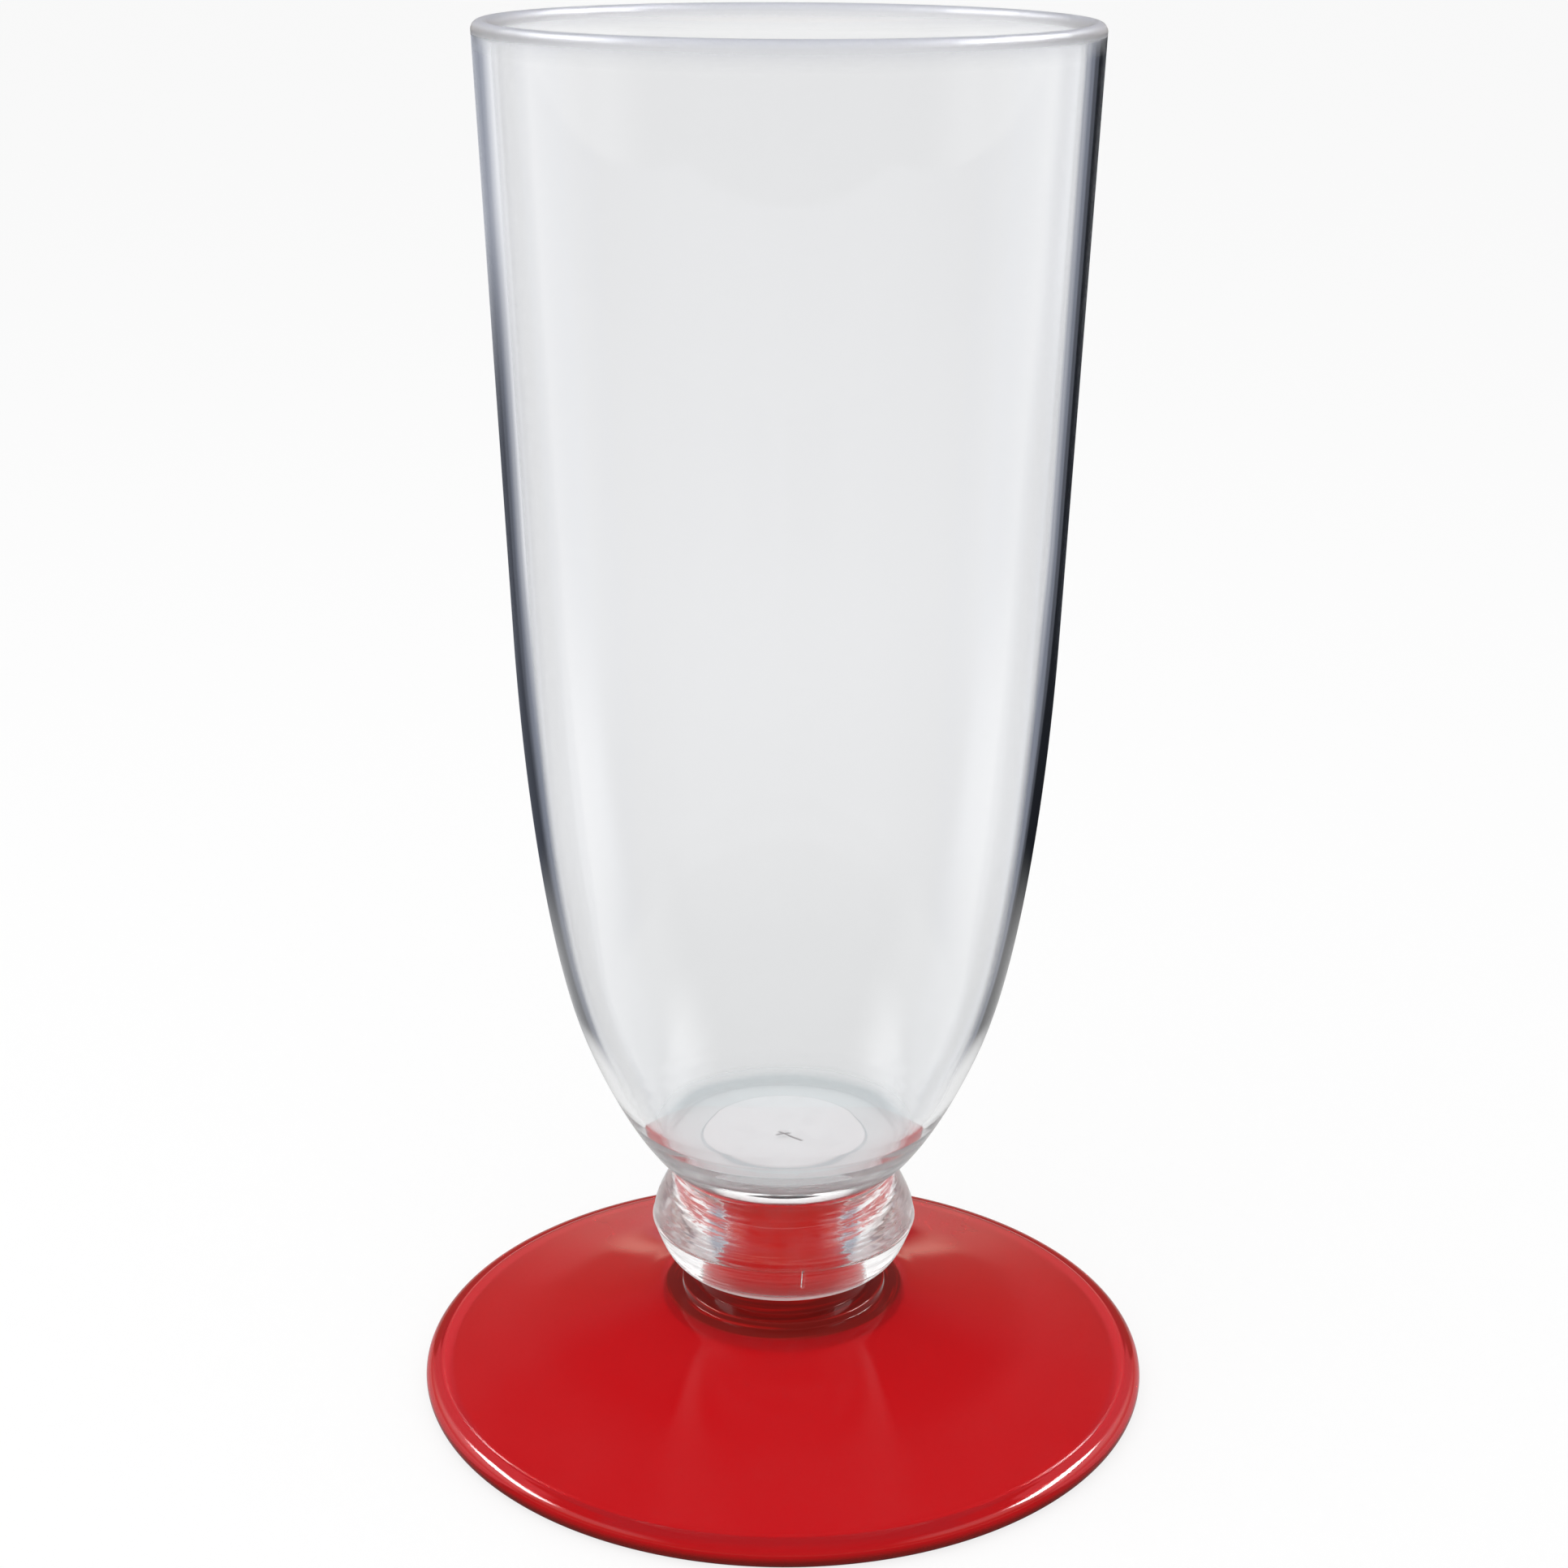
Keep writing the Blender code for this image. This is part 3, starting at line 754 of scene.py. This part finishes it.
def studio_floor():
    """A wide pale floor at the flute's foot, white where it is seen straight or through clear plastic.

    To a ray mirrored inside the plastic it is white only in a patch under and behind the flute. Away from
    there it is dim in front and has two cards behind, a dark one to the right and one to the left that is
    paler far away. The cards open wider near the flute. To a ray mirrored on a surface it is grey behind the
    flute and darker in front of it, and away from it the cards are the same.
    """
    side = FLOOR_SIDE
    corners = [(-side, -side, 0), (side, -side, 0), (side, side, 0), (-side, side, 0)]
    mesh = bpy.data.meshes.new("studio_floor")
    mesh.from_pydata(corners, [], [(0, 1, 2, 3)])
    floor = new_object("studio_floor", mesh)
    made = bpy.data.materials.new("studio_floor")
    made.use_nodes = True
    tree = made.node_tree
    tree.nodes.clear()
    path = add(tree, "LightPath", {})
    inner, outer = mirrored_shares(tree, path)
    place = add(tree, "TexCoord", {}).outputs["Object"]
    paint = add(tree, "BsdfDiffuse", {"Color": FLOOR_PAINT}).outputs[0]
    white = add(tree, "Emission", {"Color": WHITE}).outputs[0]
    seen = sums(tree, "MAXIMUM", path.outputs["Is Camera Ray"], path.outputs["Is Transmission Ray"])
    seen = sums(tree, "MAXIMUM", seen, path.outputs["Is Glossy Ray"])
    glow = sums(tree, "MULTIPLY", seen, FLOOR_GLOW)
    plain = add(tree, "MixShader", {0: glow, 1: paint, 2: white}).outputs[0]
    x, y, _ = add(tree, "SeparateXYZ", {0: place}).outputs
    aside = sums(tree, "SUBTRACT", sums(tree, "ABSOLUTE", x), CARD_ASIDE)
    bearing = sums(tree, "ARCTAN2", aside, sums(tree, "SUBTRACT", y, CARD_BEHIND))
    far = add(tree, "VectorMath", {0: place}, operation="LENGTH").outputs["Value"]
    bearing = sums(tree, "MULTIPLY", bearing, ramp(tree, far, *NEAR_EDGE, NEAR_SPREAD, 1.0))
    left = card_tones(tree, bearing, LEFT_TONES)
    left = blend(tree, ramp(tree, far, *FAR_EDGE), left, card_tones(tree, bearing, FAR_LEFT_TONES))
    right = card_tones(tree, bearing, RIGHT_TONES)
    tone = blend(tree, sums(tree, "GREATER_THAN", x, 0.0), left, right)
    front = blend(tree, ramp(tree, far, *FRONT_FAR_EDGE), FRONT_NEAR, FRONT_FAR)
    tone = blend(tree, ramp(tree, y, *FRONT_EDGE), tone, front)
    dim = add(tree, "Emission", {"Color": tone}).outputs[0]
    off = add(tree, "VectorMath", {0: place, 1: FLOOR_PATCH}, operation="DISTANCE").outputs["Value"]
    away = sums(tree, "MULTIPLY", inner, ramp(tree, off, *FLOOR_PATCH_EDGE))
    whole = add(tree, "MixShader", {0: away, 1: plain, 2: dim}).outputs[0]
    sheen = blend(tree, ramp(tree, y, *FLOOR_SHADE_EDGE), FLOOR_SHEEN, FLOOR_SHADE)
    sheen = blend(tree, ramp(tree, far, *FLOOR_SHEEN_EDGE), sheen, tone)
    sheen = add(tree, "Emission", {"Color": sheen}).outputs[0]
    whole = add(tree, "MixShader", {0: outer, 1: whole, 2: sheen}).outputs[0]
    add(tree, "OutputMaterial", {"Surface": whole})
    mesh.materials.append(made)


def studio_world():
    """White behind what is seen straight or through clear plastic, and even soft light on the flute.

    A ray mirrored inside the plastic meets a room that is grey behind and dim in front. A ray mirrored on a
    surface meets a dim room, warm low down, with a paler wall all round that is palest at its foot, and with
    a soft panel and a long window at each side.
    """
    world = bpy.data.worlds.new("studio")
    bpy.context.scene.world = world
    world.use_nodes = True
    tree = world.node_tree
    tree.nodes.clear()
    path = add(tree, "LightPath", {})
    inner, outer = mirrored_shares(tree, path)
    way = add(tree, "TexCoord", {}).outputs["Generated"]
    x, y, z = add(tree, "SeparateXYZ", {0: way}).outputs
    back = band(tree, z, *BACK_BAND, BACK_LEVEL)
    low = sums(tree, "MULTIPLY", ramp(tree, z, *LOW_EDGE, 0.0, LOW_LEVEL), ramp(tree, y, *LOW_BEHIND))
    back = sums(tree, "ADD", back, low)
    grey = sums(tree, "ADD", back, ramp(tree, z, *INNER_EDGE, 0.0, INNER_LEVEL))
    grey = sums(tree, "MULTIPLY", ramp(tree, y, *INNER_BEHIND), grey)
    grey = sums(tree, "ADD", grey, ROOM_LEVEL)
    wall = ramp(tree, z, *WALL_EDGE, 0.0, WALL_LEVEL)
    wall = sums(tree, "ADD", wall, band(tree, z, *HORIZON_BAND, HORIZON_LEVEL))
    panels = ramp(tree, sums(tree, "ABSOLUTE", x), *PANEL_ASIDE)
    panels = sums(tree, "MULTIPLY", panels, band(tree, z, *PANEL_BAND, PANEL_LEVEL))
    dim = sums(tree, "ADD", sums(tree, "ADD", wall, panels), ROOM_LEVEL)
    once = sums(tree, "LESS_THAN", path.outputs["Glossy Depth"], ONE_BOUNCE)
    for middle, across, bright in WINDOWS:
        toward = add(tree, "VectorMath", {0: way, 1: middle}, operation="DOT_PRODUCT").outputs["Value"]
        aside = add(tree, "VectorMath", {0: way, 1: across}, operation="DOT_PRODUCT").outputs["Value"]
        window = ramp(tree, sums(tree, "ABSOLUTE", aside), *WINDOW_BREADTH, 0.0, bright)
        window = sums(tree, "MULTIPLY", window, ramp(tree, toward, *WINDOW_REACH))
        dim = sums(tree, "ADD", dim, sums(tree, "MULTIPLY", window, once))
    straight = sums(tree, "SUBTRACT", sums(tree, "SUBTRACT", 1.0, inner), outer)
    seen = sums(tree, "MAXIMUM", path.outputs["Is Camera Ray"], path.outputs["Is Transmission Ray"])
    level = sums(tree, "MULTIPLY", sums(tree, "MAXIMUM", seen, SOFT_LEVEL), straight)
    level = sums(tree, "ADD", level, sums(tree, "MULTIPLY", inner, grey))
    level = sums(tree, "ADD", level, sums(tree, "MULTIPLY", outer, dim))
    warm = sums(tree, "MULTIPLY", outer, ramp(tree, z, *WARM_EDGE))
    colour = blend(tree, warm, WHITE, ROOM_WARMTH)
    shade = add(tree, "Background", {"Color": colour, "Strength": level}).outputs[0]
    add(tree, "OutputWorld", {"Surface": shade})


bowl = turned("flute_bowl", BOWL, False, EVEN, cavity_marks)
keep_bowl_shares(bowl)
knop = turned("flute_knop", KNOP, True, KNOP_ANGLES, knop_marks)
base = turned("flute_base", BASE, False, EVEN, rim_line)
for piece, body, slot, finish in (
    (bowl, "bowl", "clear_plastic", bowl_plastic()),
    (knop, "knop", "clear_plastic", knop_plastic()),
    (base, "base", "red_plastic", foot_plastic()),
):
    piece.data.materials.append(finish)
    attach(piece, body)
    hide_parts(body)

# The clear pieces mirror the pale studio and not the foot
base.visible_glossy = False

studio_floor()
studio_world()

lamp = bpy.data.lights.new("key", "AREA")
lamp.energy = LAMP_POWER
lamp.size = LAMP_SIZE
key = new_object("key", lamp)
key.location = LAMP_PLACE
key.rotation_euler = LAMP_TURN
key.visible_glossy = False
key.visible_transmission = False

view = bpy.data.cameras.new("photo_view")
view.lens = CAMERA_LENS
view.sensor_width = CAMERA_SENSOR
view.shift_x = CAMERA_SHIFT
view.clip_start = CAMERA_NEAR
camera = new_object("photo_view", view)
camera.location = (0.0, -CAMERA_BACK, CAMERA_HEIGHT)
camera.rotation_mode = "XYZ"
pitched = Matrix.Rotation(math.pi / 2 - CAMERA_PITCH, 3, "X")
camera.rotation_euler = (pitched @ Matrix.Rotation(CAMERA_ROLL, 3, "Z")).to_euler()

scene = bpy.context.scene
scene.camera = camera
scene.view_settings.view_transform = "Standard"
scene.cycles.max_bounces = BOUNCES
scene.cycles.transmission_bounces = BOUNCES
scene.cycles.glossy_bounces = MIRROR_BOUNCES
scene.cycles.blur_glossy = GLOSS_BLUR
